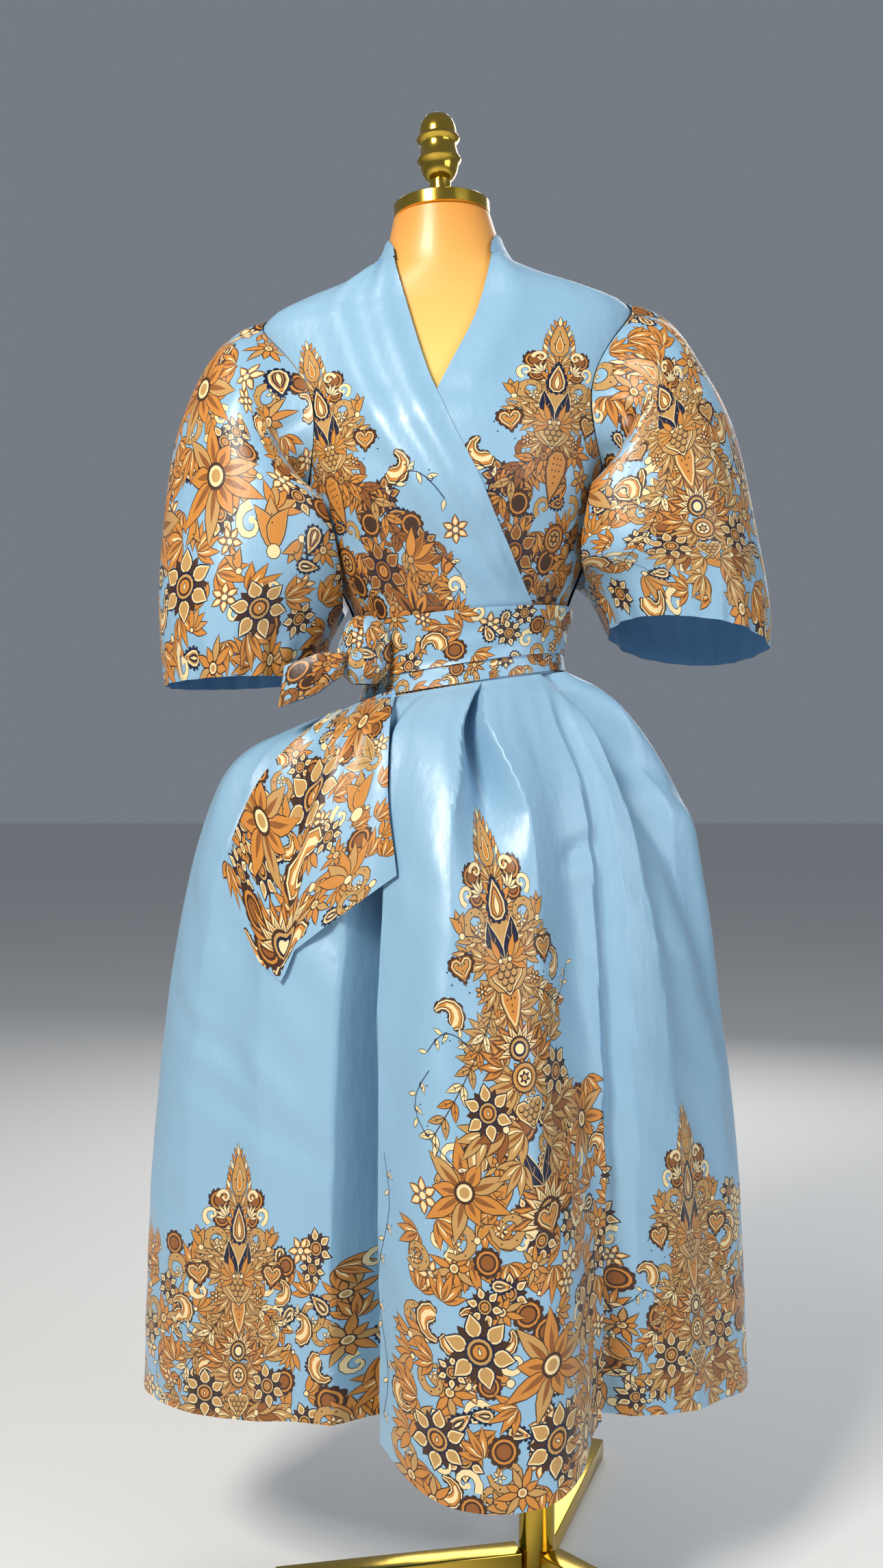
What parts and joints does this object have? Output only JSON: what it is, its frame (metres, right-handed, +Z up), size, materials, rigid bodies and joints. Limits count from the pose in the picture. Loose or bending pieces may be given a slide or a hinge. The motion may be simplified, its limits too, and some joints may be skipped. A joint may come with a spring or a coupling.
{
  "type": "wrap dress on limbless dress form with tripod stand",
  "caption": "Satin wrap-front midi dress with puffed elbow sleeves, box-pleated skirt and knotted sash, worn by a limbless dress form on a brass tripod stand",
  "frame": {"origin": "centre of the stand's socket where it meets the floor", "axes": "+Z up; -Y is the front of the dress; +X is the wearer's left"},
  "size_m": [0.6897, 0.5908, 1.6167],
  "materials": {
    "satin": "printed sky-blue satin with a soft sheen",
    "form_skin": "golden tan, glossy",
    "brass": "polished yellow brass"
  },
  "bodies": {
    "root": {"form_torso": "form_skin", "neck_cap": "brass", "finial": "brass", "stand_post": "brass", "stand_socket": "brass", "base_leg_1": "brass", "base_leg_2": "brass", "base_leg_3": "brass", "bodice_front_over": "satin", "bodice_front_under": "satin", "bodice_back": "satin", "collar": "satin", "sleeve_left": "satin", "sleeve_right": "satin", "waist_band": "satin", "skirt_front": "satin", "skirt_back": "satin", "sash_band": "satin", "sash_knot": "satin", "sash_loop": "satin", "sash_tail": "satin"}
  },
  "joints": []
}
